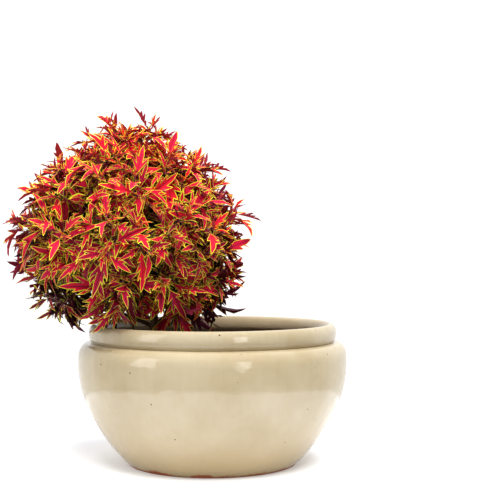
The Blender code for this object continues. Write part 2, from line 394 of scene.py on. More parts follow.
@dataclass(frozen=True)
class GlazedEarthenware:
    """Thrown terracotta, dipped in a glossy cream glaze that stops just above the foot."""

    light: str = "#c2b498"
    deep: str = "#b6a686"
    # Darker glaze towards the foot: partly glaze pooled there, partly painted shade on the lower body.
    pooled_and_shaded: str = "#a08b62"
    clay: str = "#b0683e"
    dark_clay: str = "#6a4028"
    pinhole: str = "#5b3b24"
    glaze_rough: float = 0.13
    clay_rough: float = 0.85
    cloud_mm: float = 90.0
    run_mm: float = 7.0
    run_share: float = 0.16
    pooled_and_shaded_below: float = 0.115
    pinhole_apart_mm: float = 16.0
    pinhole_mm: float = 2.4
    ripple_mm: float = 16.0
    relief_mm: float = 1.2
    clay_grain_mm: float = 3.0
    foot_wander_mm: float = 14.0
    foot_line: float = 1.6 * MM
    chip_middle: Spot = (-0.012, -0.133, 0.0)
    chip_size: Spot = (0.019, 0.026, 0.0080)
    scuff_mm: float = 3.0
    scuff_patch_mm: float = 60.0
    scuffs_below: float = 16 * MM
    worn_middle: Spot = (-0.082, -0.108, 0.006)
    worn_reach: float = 0.034

    def material(self) -> bpy.types.Material:
        """Makes the material.

        Returns:
            A dielectric with slow cream clouds, faint vertical runs, a few pinholes, darker towards the foot
            as partly pooled glaze and partly painted shade, and bare clay at the foot and where the glaze has
            chipped.
        """
        wiring = bare_material("glazed_earthenware")
        place = wiring.place()
        height = wiring.height(place)
        cloud = wiring.waves(place, self.cloud_mm, 3.0, 0.55)
        runs = wiring.waves(wiring.stretched(place, 0.06), self.run_mm)
        cream = wiring.span(wiring.math("MULTIPLY_ADD", runs, self.run_share, cloud), 0.42, 0.76)
        body = wiring.mix(cream, self.light, self.deep)
        # Darkens the body towards the foot: partly pooled glaze, partly painted shade.
        low = wiring.span(height, self.pooled_and_shaded_below, 0.0, 0.0, 0.85, interpolation_type="SMOOTHSTEP")
        body = wiring.mix(low, body, self.pooled_and_shaded)
        hole = self.pinholes(wiring, place)
        body = wiring.mix(hole, body, self.pinhole)
        bare = self.bare_clay(wiring, place, height)
        clay = wiring.mix(wiring.waves(place, self.clay_grain_mm, 4.0), self.dark_clay, self.clay)
        body = wiring.mix(bare, body, clay)
        rough = wiring.span(bare, 0.0, 1.0, self.glaze_rough, self.clay_rough)
        relief = wiring.math("MULTIPLY_ADD", hole, -0.6, wiring.waves(place, self.ripple_mm, 2.0, 0.4))
        relief = wiring.math("MULTIPLY_ADD", bare, -0.5, relief)
        return wiring.finish(Base_Color=body, Roughness=rough, IOR=1.66,
                             Normal=wiring.bump(relief, 0.5, self.relief_mm))

    def pinholes(self, wiring: Wiring, place: Socket) -> Socket:
        """Marks with 1 the sparse round pits where gas has broken through the glaze."""
        scale = 1 / (self.pinhole_apart_mm * MM)
        away = wiring.add("TexVoronoi", {"Vector": place, "Scale": scale}, "Distance")
        size = wiring.add("SeparateColor", {0: away.node.outputs["Color"]})
        return wiring.math("LESS_THAN", away,
                           wiring.span(size, 0.35, 1.0, 0.0, 0.5 * self.pinhole_mm * MM * scale))

    def bare_clay(self, wiring: Wiring, place: Socket, height: Socket) -> Socket:
        """Marks the clay that the glaze leaves bare: the underside, the foot's edge and one chip.

        Args:
            wiring: The material.
            place: Object coordinates.
            height: Their Z value.

        Returns:
            A value of 1 on bare clay and 0 on glaze.
        """
        wander = wiring.waves(place, self.foot_wander_mm, 3.0)
        edge = wiring.math("MULTIPLY_ADD", wander, -4.0 * MM, height)
        line = wiring.math("LESS_THAN", edge, self.foot_line - 2.0 * MM)
        moved = wiring.vector("SUBTRACT", place, self.chip_middle)
        away = wiring.vector("LENGTH", wiring.vector("DIVIDE", moved, self.chip_size), output="Value")
        chip = wiring.math("LESS_THAN", wiring.math("MULTIPLY_ADD", wander, 1.1, away), 1.45)
        bare = wiring.math("MAXIMUM", line, chip)
        return wiring.math("MAXIMUM", bare, self.scuffs(wiring, place, height))

    def scuffs(self, wiring: Wiring, place: Socket, height: Socket) -> Socket:
        """Marks the small flakes knocked off the glaze just above the foot, most of them in one place.

        Args:
            wiring: The material.
            place: Object coordinates.
            height: Their Z value.

        Returns:
            A value of 1 in a flake and 0 elsewhere.
        """
        both = wiring.math("ADD", wiring.waves(place, self.scuff_mm),
                           wiring.waves(place, self.scuff_patch_mm, 1.0))
        most = wiring.span(height, 0.0, self.scuffs_below, 0.92, 1.75)
        away = wiring.vector("DISTANCE", place, self.worn_middle, output="Value")
        worn = wiring.span(away, self.worn_reach, 0.0, 0.0, 0.30)
        return wiring.math("GREATER_THAN", wiring.math("ADD", both, worn), most)


@dataclass(frozen=True)
class Crumbs:
    """Moist peat, bark or perlite: dull and rough all over, in two shades from grain to grain."""

    name: str
    dark: str
    light: str
    grain_mm: float
    depth_mm: float

    def material(self) -> bpy.types.Material:
        """Makes the material."""
        wiring = bare_material(self.name)
        grain = wiring.waves(wiring.place(), self.grain_mm, 6.0, 0.7)
        colour = wiring.mix(wiring.span(grain, 0.35, 0.68), self.dark, self.light)
        return wiring.finish(Base_Color=colour, Roughness=0.93,
                             Normal=wiring.bump(grain, 0.8, self.depth_mm))


@dataclass(frozen=True)
class HalfWoodyStem:
    """Coleus stem: tan and corky at the foot, then purple-red skin with fine lengthwise ribs."""

    cork: str = "#8d6f4e"
    skin: str = "#7d3a45"
    green: str = "#7c7a45"
    rib_mm: float = 1.3
    patch_mm: float = 12.0
    cork_top: float = 0.275

    def material(self) -> bpy.types.Material:
        """Makes the material, whose cork fades out upwards and whose ribs run along the stem."""
        wiring = bare_material("half_woody_stem")
        place = wiring.place()
        ribs = wiring.waves(wiring.stretched(place, 0.15), self.rib_mm, 3.0)
        fresh = wiring.mix(wiring.waves(place, self.patch_mm), self.skin, self.green)
        rise = wiring.math("MULTIPLY_ADD", ribs, 0.05, wiring.height(place))
        aged = wiring.span(rise, self.cork_top + 0.03, self.cork_top - 0.05)
        return wiring.finish(Base_Color=wiring.mix(aged, fresh, self.cork), Roughness=0.6,
                             Normal=wiring.bump(ribs, 0.7, 0.5))


def living_skin(name: str, colour: str) -> bpy.types.Material:
    """Makes living coleus skin: soft, faintly hairy, and quilted between its finest veins.

    Args:
        name: The material's name.
        colour: Its one plain colour, because the leaves' colours are dealt out spray by spray.

    Returns:
        The material, which scatters a little light at the edges as fine hairs do.
    """
    wiring = bare_material(name)
    quilt = wiring.waves(wiring.place(), 1.8, 1.0)
    return wiring.finish(Base_Color=colour, Roughness=0.55, IOR=1.36, Specular_IOR_Level=0.42,
                         Sheen_Weight=0.05, Sheen_Roughness=0.4, Normal=wiring.bump(quilt, 0.8, 0.8))


class Tint(Enum):
    """The leaves' colourings, in the order of ZONES, from lightest to darkest: lit and shaded copies dealt
    out as painted light and shade.
    """

    FLAME = ("#f02a40", "#f4f040", "#cc4e62", "#b41c46")
    CORAL = ("#e42e50", "#f0ec40", "#b8445c", "#a01c4a")
    SCARLET = ("#d02044", "#e8e640", "#983850", "#841640")
    CRIMSON = ("#b01c40", "#e0dc44", "#762c46", "#621434")
    MAROON = ("#821e38", "#d0cc46", "#5c2a3a", "#a42c4a")
    SHADE = ("#4c1a2a", "#a09c40", "#401e2a", "#701e38")

    def materials(self) -> list[bpy.types.Material]:
        """Makes the skins, in the order of the leaf's material numbers."""
        return [living_skin(f"leaf_{zone}_{self.name.lower()}", colour)
                for zone, colour in zip(ZONES, self.value)]


ZONES = ("blade", "margin", "under", "midrib")
MARGIN, UNDER, MIDRIB = 1, 2, 3


# ---------------------------------------------------------------- bowl and potting mix


@dataclass
class Bowl:
    """The glazed bowl: flat foot, round belly, tight shoulder, groove and rolled lip."""

    foot_radius: float = 0.134
    foot_round: float = 0.0022
    belly_height: float = 0.160
    shoulder_height: float = 0.170
    neck_radius: float = 0.198
    neck_height: float = 0.192
    lip_half_width: float = 0.0085
    lip_half_height: float = 0.0150
    lip_radius: float = 0.1885
    lip_from_degrees: float = -62
    lip_turn_degrees: float = 267
    lip_steps: int = 22
    wall: float = 0.010
    floor: float = 0.014
    recess_radius: float = 0.118
    recess_depth: float = 0.0015
    outer_steps: int = 26
    inner_steps: int = 12
    turn_steps: int = 180
    wobble: float = 0.0006
    wobble_waves: float = 9
    least_wobble_radius: float = 0.05
    throwing_apart: float = 0.011
    throwing_depth: float = 0.04
    sharp_degrees: float = 55
    belly_radius: float = field(init=False)
    rim_height: float = field(init=False)

    def __post_init__(self) -> None:
        """Reads the belly's radius and the rim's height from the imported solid."""
        low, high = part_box("pot")
        self.belly_radius = (high[0] - low[0]) / 2
        self.rim_height = high[2]

    def side(self, height: float) -> float:
        """Outer radius between foot and belly, a parabola that is upright at the belly."""
        share = min(height / self.belly_height, 1.0)
        return self.foot_radius + (self.belly_radius - self.foot_radius) * (1 - (1 - share) ** 2)

    def shoulder(self, degrees: float) -> Range:
        """Radius and height on the shoulder, a quarter of an ellipse from belly to neck."""
        angle = math.radians(degrees)
        radius = self.neck_radius + (self.belly_radius - self.neck_radius) * math.cos(angle)
        return radius, self.shoulder_height + (self.neck_height - self.shoulder_height) * math.sin(angle)

    def outer(self) -> list[Range]:
        """Radius and height of the outside, from the foot's edge to the neck."""
        turns = [math.radians(degrees) for degrees in (-90, -60, -30, 0)]
        middle = self.foot_radius - self.foot_round
        foot = [(middle + self.foot_round * math.cos(turn), self.foot_round * (1 + math.sin(turn)))
                for turn in turns]
        rise = self.belly_height - self.foot_round
        heights = [self.foot_round + rise * step / self.outer_steps
                   for step in range(1, self.outer_steps + 1)]
        return (foot + [(self.side(height), height) for height in heights]
                + [self.shoulder(degrees) for degrees in range(0, 90, 6)])

    def lip(self) -> list[Range]:
        """Radius and height round the rolled lip, from the groove over the top to the inside."""
        middle = self.rim_height - self.lip_half_height
        angles = [math.radians(self.lip_from_degrees + self.lip_turn_degrees * step / self.lip_steps)
                  for step in range(self.lip_steps + 1)]
        return [(self.lip_radius + self.lip_half_width * math.cos(angle),
                 middle + self.lip_half_height * math.sin(angle)) for angle in angles]

    def inner(self) -> list[Range]:
        """Radius and height of the inside, from under the lip to the floor."""
        drop = self.floor - self.belly_height
        heights = [self.belly_height + drop * step / self.inner_steps
                   for step in range(1, self.inner_steps + 1)]
        points = ([self.shoulder(degrees) for degrees in range(72, -9, -9)]
                  + [(self.side(height), height) for height in heights])
        return [(radius - self.wall, height) for radius, height in points]

    def inner_radius(self, height: float) -> float:
        """Radius of the inside wall at a height."""
        radii, heights = zip(*reversed(self.lip()[-1:] + self.inner()))
        return float(np.interp(height, heights, radii))

    def meets(self, places: Array, gap: float) -> Flags:
        """Tells which points lie in the bowl's wall, under its rim's roll or below the ground.

        Args:
            places: Points, as (..., 3).
            gap: How far a point has to stay away.

        Returns:
            True for each point that is too near.
        """
        away = np.hypot(places[..., 0], places[..., 1])
        height = places[..., 2]
        outside = self.outer() + [point for point in self.lip() if point[0] > self.lip_radius]
        radii, heights = zip(*outside)
        wall = np.interp(height, heights, radii) + gap
        inside = list(reversed([point for point in self.lip() if point[0] < self.lip_radius] + self.inner()))
        hollow_radii, hollow_heights = zip(*inside)
        hollow = np.interp(height, hollow_heights, hollow_radii) - gap
        in_wall = (away < wall) & (away > hollow) & (height < self.rim_height + gap)
        return in_wall | (height < gap)

    def build(self) -> None:
        """Turns the bowl on the wheel and gives it the slight unevenness of a thrown pot."""
        underside = [(0.0, self.recess_depth), (self.recess_radius, self.recess_depth),
                     (self.recess_radius + self.recess_depth, 0.0)]
        build = turned(underside + self.outer() + self.lip() + self.inner() + [(0.0, self.floor)],
                       self.turn_steps)
        for vert in build.verts:
            rise = min(vert.co.z / self.belly_height, 1.0)
            swell = noise.noise(vert.co * self.wobble_waves) * self.wobble * rise
            throwing = math.sin(vert.co.z * 2 * math.pi / self.throwing_apart)
            throwing = throwing * self.throwing_depth * MM * rise
            vert.co.xy *= 1 + (swell + throwing) / max(vert.co.xy.length, self.least_wobble_radius)
        mesh = smooth(mesh_from("glazed_bowl", build), self.sharp_degrees)
        piece_from("glazed_bowl", mesh, [GlazedEarthenware().material()], ["pot"])


@dataclass(frozen=True)
class Lumps:
    """One kind of small uneven lump that lies on the mix: how many, how big, how flat, how tilted."""

    piece: str
    count: int
    half_length_mm: Range
    squash: Range
    tilt: float
    finish: Crumbs


LUMPS = (
    Lumps("bark_chips", 300, (2.5, 6.5), (0.5, 0.25), 0.35,
          Crumbs("composted_bark", "#3a2418", "#7a5637", 2.0, 0.5)),
    Lumps("perlite_grains", 340, (0.9, 1.9), (0.9, 0.8), math.pi,
          Crumbs("expanded_perlite", "#cfc8b8", "#f1ece0", 0.8, 0.3)),
    Lumps("peat_crumbs", 1500, (0.9, 2.4), (0.8, 0.7), math.pi,
          Crumbs("peat_crumb", "#22170f", "#54402c", 1.2, 0.4)),
)


@dataclass
class MixBed:
    """The potting mix: an uneven crumbly top with bark chips, perlite and peat crumbs on it."""

    bowl: Bowl
    draw: np.random.Generator
    ring_step: float = 2.6 * MM
    turn_steps: int = 200
    skirt: float = 0.012
    wall_gap: float = 0.4 * MM
    lump_gap: float = 3 * MM
    sag: float = 1.4 * MM
    slow_relief: float = 1.6 * MM
    slow_waves: float = 24
    fine_relief: float = 0.9 * MM
    fine_waves: float = 130
    lump_rise: float = 0.25
    lump_widths: Range = (0.72, 1.25)
    sharp_degrees: float = 75
    top: float = field(init=False)

    def __post_init__(self) -> None:
        """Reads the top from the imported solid."""
        self.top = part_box("potting_mix")[1][2]

    def height(self, x: float, y: float) -> float:
        """Height of the mix's surface at a place."""
        slow = noise.noise(Vector((x, y, 0.3)) * self.slow_waves)
        fine = noise.fractal(Vector((x, y, 0.7)) * self.fine_waves, 0.8, 2.0, 4)
        return self.top - self.sag + self.slow_relief * slow + self.fine_relief * fine

    def build(self) -> None:
        """Makes the bed, a closed plug whose top is raised and lowered grain by grain, and its lumps."""
        edge = self.bowl.inner_radius(self.top) - self.wall_gap
        rings = int(edge / self.ring_step)
        bottom = self.top - self.skirt
        profile = [(0.0, self.top)] + [(edge * ring / rings, self.top) for ring in range(1, rings + 1)]
        build = turned(profile + [(edge, bottom), (0.0, bottom)], self.turn_steps)
        for vert in build.verts:
            if vert.co.z > bottom + MM:
                vert.co.z = self.height(vert.co.x, vert.co.y)
        mix = Crumbs("moist_potting_mix", "#1d130d", "#4b3625", 2.6, 1.2).material()
        mesh = smooth(mesh_from("potting_mix_bed", build), self.sharp_degrees)
        piece_from("potting_mix_bed", mesh, [mix], ["potting_mix"])
        for lumps in LUMPS:
            self.scatter(lumps)

    def scatter(self, lumps: Lumps) -> None:
        """Strews one kind of lump over the bed."""
        draw = self.draw
        build = bmesh.new()
        bmesh.ops.create_icosphere(build, subdivisions=1, radius=1.0)
        form, triangles = arrays(build)
        build.free()
        gathered = Gathered()
        edge = self.bowl.inner_radius(self.top) - self.lump_gap
        shortest, longest = (length * MM for length in lumps.half_length_mm)
        for _ in range(lumps.count):
            away, turn = edge * math.sqrt(draw.random()), draw.uniform(0, FULL_TURN)
            middle = Vector((away * math.cos(turn), away * math.sin(turn), 0))
            length = draw.uniform(shortest, longest)
            lump = form * draw.uniform(*self.lump_widths, form.shape) * length * np.array([1, *lumps.squash])
            spin = Matrix.Rotation(draw.uniform(0, FULL_TURN), 3, "Z")
            lean = Matrix.Rotation(draw.uniform(-lumps.tilt, lumps.tilt), 3, "X")
            lump = lump @ np.array(spin @ lean).T
            middle.z = self.height(middle.x, middle.y) + self.lump_rise * length * lumps.squash[1]
            gathered.add(lump + np.array(middle), triangles)
        gathered.pieces(lumps.piece, [lumps.finish.material()], ["potting_mix"], "potting_mix")


# ---------------------------------------------------------------- leaf shapes


@dataclass(frozen=True)
class Lobe:
    """A side lobe of a leaf. Lengths are shares of the leaf's length, and its splay is in degrees."""

    at: float
    reach: float
    splay: float
    half_width: float


@dataclass(frozen=True)
class LeafShape:
    """The flat shape of a leaf: a wedge-footed blade with a long middle lobe and lobes down each side.

    The leaf lies along +Y with its upper side to +Z, and its length is 1. The few points of each lobe
    are set out as shares of the blade's half width and of the lobe's reach.
    """

    half_width: float
    right: tuple[Lobe, ...] = ()
    left: tuple[Lobe, ...] = ()
    tip_width: float = 0.075
    margin: float = 0.0135
    thickness: float = 0.010
    foot: tuple[float, ...] = (0.12,)
    point: tuple[float, ...] = (0.38, 0.78)
    midrib_cuts: int = 3
    midrib: float = 0.009
    widest: float = 0.38
    lobe_root: float = 0.75
    lobe_shoulder: float = 0.55
    notch_after: float = 1.5
    notch_root: float = 0.72
    same: float = 1e-5

    def core(self, share: float) -> float:
        """Half width of the blade without its lobes, at a share of the length."""
        wide, thin = self.half_width, self.tip_width
        widths = (0.006, 0.38 * wide, wide, 0.92 * wide, 0.7 * thin + 0.3 * wide, 0.8 * thin, 0)
        return float(np.interp(share, (0, 0.13, 0.36, 0.50, 0.64, 0.82, 1.0), widths))

    def edge(self, lobes: tuple[Lobe, ...]) -> list[Range]:
        """Half of the outline, from the petiole to the tip.

        Args:
            lobes: The lobes on that side, from the petiole on.

        Returns:
            Points as (distance from the midrib, distance along it).
        """
        points = [(0.0, 0.0)] + [(self.core(share), share) for share in self.foot]
        for lobe in lobes:
            slant = math.radians(lobe.splay)
            forward = np.array([math.sin(slant), math.cos(slant)]) * lobe.reach
            back = np.array([math.cos(slant), -math.sin(slant)]) * lobe.half_width
            root = np.array([self.lobe_root * self.core(lobe.at), lobe.at])
            points += [tuple(root + self.lobe_shoulder * forward + back), tuple(root + forward)]
            after = lobe.at + self.notch_after * lobe.half_width
            points.append((self.notch_root * self.core(after), after))
        if not lobes:
            points.append((self.core(self.widest), self.widest))
        last = points[-1][1]
        points += [(self.core(last + (1 - last) * share), last + (1 - last) * share) for share in self.point]
        return points + [(0.0, 1.0)]

    def build(self) -> tuple[Array, Whole, Whole]:
        """Cuts the leaf out, gives its upper side a margin, and closes it with a plain underside.

        Returns:
            Its points, its triangles, and the material number of each triangle, which is the place of
            its zone in ZONES.
        """
        build = bmesh.new()
        right, left = self.edge(self.right), self.edge(self.left)
        outline = right + [(-x, y) for x, y in reversed(left)][1:-1]
        build.faces.new([build.verts.new((x, y, 0.0)) for x, y in outline])
        cut = bmesh.ops.bisect_plane(build, geom=everything(build), plane_co=(0, 0, 0),
                                     plane_no=(1, 0, 0), dist=self.same)["geom_cut"]
        bmesh.ops.subdivide_edges(build, edges=only(Edge, cut), cuts=self.midrib_cuts)
        if self.midrib:
            parts = [edge for edge in build.edges if all(abs(vert.co.x) < self.same for vert in edge.verts)]
            for face in bmesh.ops.bevel(build, geom=parts, offset=self.midrib, affect="EDGES", segments=1,
                                        profile=0.5, material=-1)["faces"]:
                face.material_index = MIDRIB
        upper = build.faces[:]
        if upper[0].normal.z < 0:
            bmesh.ops.reverse_faces(build, faces=upper)
        lower = only(Face, bmesh.ops.duplicate(build, geom=everything(build))["geom"])
        bmesh.ops.reverse_faces(build, faces=lower)
        for face in lower:
            face.material_index = UNDER
        for vert in {vert for face in lower for vert in face.verts if not vert.is_boundary}:
            vert.co.z = -self.thickness / 2
        for face in bmesh.ops.inset_region(build, faces=upper, thickness=self.margin, use_boundary=True,
                                           use_even_offset=True)["faces"]:
            face.material_index = MARGIN
        for vert in {vert for face in upper for vert in face.verts}:
            vert.co.z = self.thickness / 2
        bmesh.ops.remove_doubles(build, verts=build.verts, dist=self.same)
        bmesh.ops.triangulate(build, faces=build.faces)
        places, triangles = arrays(build)
        kinds = np.array([face.material_index for face in build.faces])
        build.free()
        return places, triangles, kinds


def lobed(half_width: float, right: Sequence[tuple[float, ...]], left: Sequence[tuple[float, ...]] = (),
          **more: object) -> LeafShape:
    """Makes a leaf shape.

    Args:
        half_width: Half width of its blade.
        right: The four measures of each lobe on the right.
        left: Those of each lobe on the left.
        **more: Other fields of the shape.

    Returns:
        The shape.
    """
    sides = [tuple(Lobe(*row) for row in rows) for rows in (right, left)]
    return LeafShape(half_width, *sides, **more)


PLAIN = {"foot": (), "point": (0.5,), "midrib": 0.0}
FEW = {"margin": 0.0190, "thickness": 0.014, **PLAIN}
LANCED = {"thickness": 0.016, "midrib_cuts": 2, **PLAIN}


class Leaves(Enum):
    """The families of leaf shapes: long cut ones, shorter ones with few lobes, and plain lances."""

    CUT = (
        lobed(0.120, [(0.24, 0.13, 48, 0.036), (0.42, 0.17, 38, 0.038), (0.60, 0.13, 30, 0.034)],
              [(0.32, 0.16, 42, 0.038), (0.52, 0.15, 34, 0.036)]),
        lobed(0.135, [(0.30, 0.17, 44, 0.040), (0.50, 0.18, 34, 0.040)],
              [(0.22, 0.12, 50, 0.034), (0.40, 0.18, 38, 0.040), (0.58, 0.13, 30, 0.034)]),
        lobed(0.130, [(0.36, 0.30, 28, 0.052)], [(0.32, 0.27, 34, 0.050), (0.53, 0.13, 34, 0.034)]),
        lobed(0.126, [(0.22, 0.20, 52, 0.042), (0.40, 0.29, 28, 0.046)],
              [(0.24, 0.19, 54, 0.042), (0.42, 0.28, 28, 0.046)]),
        lobed(0.135, [(0.46, 0.15, 34, 0.040)], tip_width=0.088),
        lobed(0.140, [(0.44, 0.24, 28, 0.048)], [(0.30, 0.14, 46, 0.038), (0.50, 0.14, 34, 0.036)],
              tip_width=0.080),
    )
    FEW_LOBED = (
        lobed(0.125, [(0.34, 0.25, 30, 0.050)], [(0.40, 0.24, 28, 0.050)], **FEW),
        lobed(0.135, [(0.44, 0.22, 28, 0.050)], **FEW),
        lobed(0.115, [(0.32, 0.20, 36, 0.046)], [(0.46, 0.24, 24, 0.046)], **FEW),
    )
    LANCE = (LeafShape(0.140, margin=0.052, **LANCED), LeafShape(0.120, margin=0.038, **LANCED))


# ---------------------------------------------------------------- stems


@dataclass
class Limb:
    """A stem's middle line and its radius at each point."""

    points: Array
    radii: Array

    def reversed(self) -> "Limb":
        """The same limb from its other end."""
        return Limb(self.points[::-1], self.radii[::-1])

    def finer(self, step: float) -> "Limb":
        """Reads the limb again at an even step along its length.

        Args:
            step: Distance between points.

        Returns:
            The same limb with more points, on a smoother line.
        """
        run = run_along(self.points)
        at = np.linspace(0, run[-1], max(int(run[-1] / step), 4))
        points = np.stack([np.interp(at, run, self.points[:, axis]) for axis in range(3)], axis=1)
        for _ in range(6):
            points[1:-1] = (points[:-2] + 2 * points[1:-1] + points[2:]) / 4
        return Limb(points, np.interp(at, run, self.radii))


def middle_line(node: str, slices: int) -> Limb:
    """Finds the middle line of a packed limb by cutting it across its length.

    Args:
        node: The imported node.
        slices: How many cuts are made.

    Returns:
        The limb, from either end.
    """
    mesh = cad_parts[node].data
    places = np.array([vert.co[:] for vert in mesh.vertices])
    centre = places.mean(axis=0)
    along = np.linalg.svd(places - centre, full_matrices=False)[2][0]
    reach = (places - centre) @ along
    points, radii = [], []
    for share in np.linspace(0.015, 0.985, slices):
        build = bmesh.new()
        build.from_mesh(mesh)
        bmesh.ops.remove_doubles(build, verts=build.verts, dist=1e-6)
        at = centre + along * (reach.min() + share * np.ptp(reach))
        cut = bmesh.ops.bisect_plane(build, geom=everything(build), plane_co=at, plane_no=along,
                                     dist=1e-7)["geom_cut"]
        ring = np.array([vert.co[:] for vert in only(Vert, cut)])
        build.free()
        points.append(ring.mean(axis=0))
        radii.append(np.linalg.norm(ring - points[-1], axis=1).mean())
    return Limb(np.array(points), np.array(radii))


@dataclass
class Stems:
    """The main stem and the boughs: square-shouldered, ribbed, and swollen at each node."""

    step: float = 2.5 * MM
    node_apart: float = 0.0225
    node_reach: float = 2.2 * MM
    swelling: float = 0.16
    squareness: float = 0.06
    relief: float = 0.22 * MM
    relief_waves: float = 420
    sunk: float = 0.004
    stem_slices: int = 14
    stem_sides: int = 16
    bough_slices: int = 8
    bough_sides: int = 12
    sharp_degrees: float = 60
    limbs: dict[str, Limb] = field(default_factory=dict)

    def read(self) -> None:
        """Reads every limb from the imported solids, each from its lower or inner end."""
        stem = middle_line("main_stem", self.stem_slices)
        if stem.points[0, 2] > stem.points[-1, 2]:
            stem = stem.reversed()
        self.limbs["main_stem"] = stem
        for name in sorted(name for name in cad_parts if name.startswith("bough")):
            limb = middle_line(name, self.bough_slices)
            gaps = [np.linalg.norm(stem.points - end, axis=1).min() for end in limb.points[[0, -1]]]
            self.limbs[name] = limb.reversed() if gaps[0] > gaps[1] else limb

    def build(self) -> None:
        """Makes one piece of the main stem and one of the boughs."""
        skin = HalfWoodyStem().material()
        boughs = bmesh.new()
        for name, limb in self.limbs.items():
            start = limb.points[0] - unit(limb.points[1] - limb.points[0]) * self.sunk
            longer = Limb(np.vstack([start, limb.points]), np.concatenate([limb.radii[:1], limb.radii]))
            line = longer.finer(self.step)
            if name == "main_stem":
                mesh = mesh_from("main_stem_bark", self.swept(line, self.stem_sides))
                piece_from("main_stem_bark", smooth(mesh, self.sharp_degrees), [skin], [name])
            else:
                boughs.from_mesh(mesh_from(name, self.swept(line, self.bough_sides)))
        names = [name for name in self.limbs if name != "main_stem"]
        mesh = smooth(mesh_from("bough_bark", boughs), self.sharp_degrees)
        piece_from("bough_bark", mesh, [skin], names)

    def swept(self, limb: Limb, sides: int) -> bmesh.types.BMesh:
        """Extrudes a ring along a limb, ring by ring, then raises its nodes and its bark.

        Args:
            limb: The line to follow.
            sides: Number of sides.

        Returns:
            A closed shape.
        """
        along = unit(np.gradient(limb.points, axis=0))
        run = run_along(limb.points)
        build = bmesh.new()
        ring = bmesh.ops.create_circle(build, segments=sides, radius=1.0)["verts"]
        for vert in ring:
            vert.co *= 1 + self.squareness * math.cos(4 * math.atan2(vert.co.y, vert.co.x))
        edges = build.edges[:]
        held = Matrix.Identity(4)
        for number, (point, way, radius) in enumerate(zip(limb.points, along, limb.radii)):
            if number:
                grown = bmesh.ops.extrude_edge_only(build, edges=edges)["geom"]
                ring = only(Vert, grown)
                edges = [edge for edge in only(Edge, grown) if all(vert in ring for vert in edge.verts)]
            swell = self.swelling * math.exp(-((run[number] % self.node_apart) / self.node_reach) ** 2)
            turn = Vector(way).to_track_quat("Z", "Y").to_matrix().to_4x4()
            wanted = Matrix.Translation(point) @ turn @ Matrix.Scale(radius * (1 + swell), 4)
            bmesh.ops.transform(build, matrix=wanted @ held.inverted(), verts=ring)
            held = wanted
        bmesh.ops.holes_fill(build, edges=build.edges, sides=sides)
        bmesh.ops.recalc_face_normals(build, faces=build.faces)
        build.normal_update()
        for vert in build.verts:
            rough = noise.fractal(vert.co * self.relief_waves, 0.9, 2.0, 3)
            vert.co += vert.normal * self.relief * rough
        return build


# ---------------------------------------------------------------- crown


@dataclass(frozen=True)
class Layer:
    """One depth of the crown, and the leaves that its shoots carry, pair by pair from the tip."""

    apart: float
    hanging_apart: float
    clear: float
    depth: Range
    # How far its leaves' tints move towards the darker ones: painted shade for the deeper layers.
    shade: float
    leaf_length: float
    offsets: tuple[float, ...]
    sizes: tuple[float, ...]
    lifts: tuple[float, ...]
    families: tuple[Leaves, ...]
    tuft: int
    armpits: float


class Layers(Enum):
    """The crown's layers: long-leaved leaders, short fillers between them, and inner shoots in painted shade.
    """

    LEADERS = Layer(0.041, 2.1, 0.041, (0.000, 0.012), 0.0, 0.060, (0.003, 0.010, 0.019, 0.030, 0.044),
                    (0.40, 0.72, 0.95, 1.0, 0.92), (60, 40, 14, -4, -20),
                    (Leaves.FEW_LOBED, Leaves.CUT, Leaves.CUT, Leaves.CUT, Leaves.CUT), 4, 0.5)
    FILLERS = Layer(0.0220, 1.6, 0.017, (0.016, 0.042), 0.23, 0.040, (0.003, 0.011, 0.021, 0.033),
                    (0.60, 0.90, 1.0, 0.95), (58, 34, 12, -8),
                    (Leaves.LANCE, Leaves.FEW_LOBED, Leaves.FEW_LOBED, Leaves.FEW_LOBED), 2, 0.3)
    INNER = Layer(0.027, 1.6, 0.020, (0.050, 0.090), 0.68, 0.044, (0.003, 0.014, 0.027, 0.040),
                  (0.70, 1.0, 1.0, 1.0), (48, 20, 2, -12),
                  (Leaves.LANCE, Leaves.FEW_LOBED, Leaves.LANCE, Leaves.LANCE), 0, 0.0)


@dataclass
class Tip:
    """Where a twig ends: its place, the direction it faces, and its layer."""

    place: Array
    facing: Array
    layer: Layer


@dataclass
class Shoot:
    """The leafy end of a twig."""

    path: Array
    tint: int
    vigour: float
    low: float
    layer: Layer


def up(height: float) -> Array:
    """A vector straight up, of this length."""
    return np.array([0, 0, height])


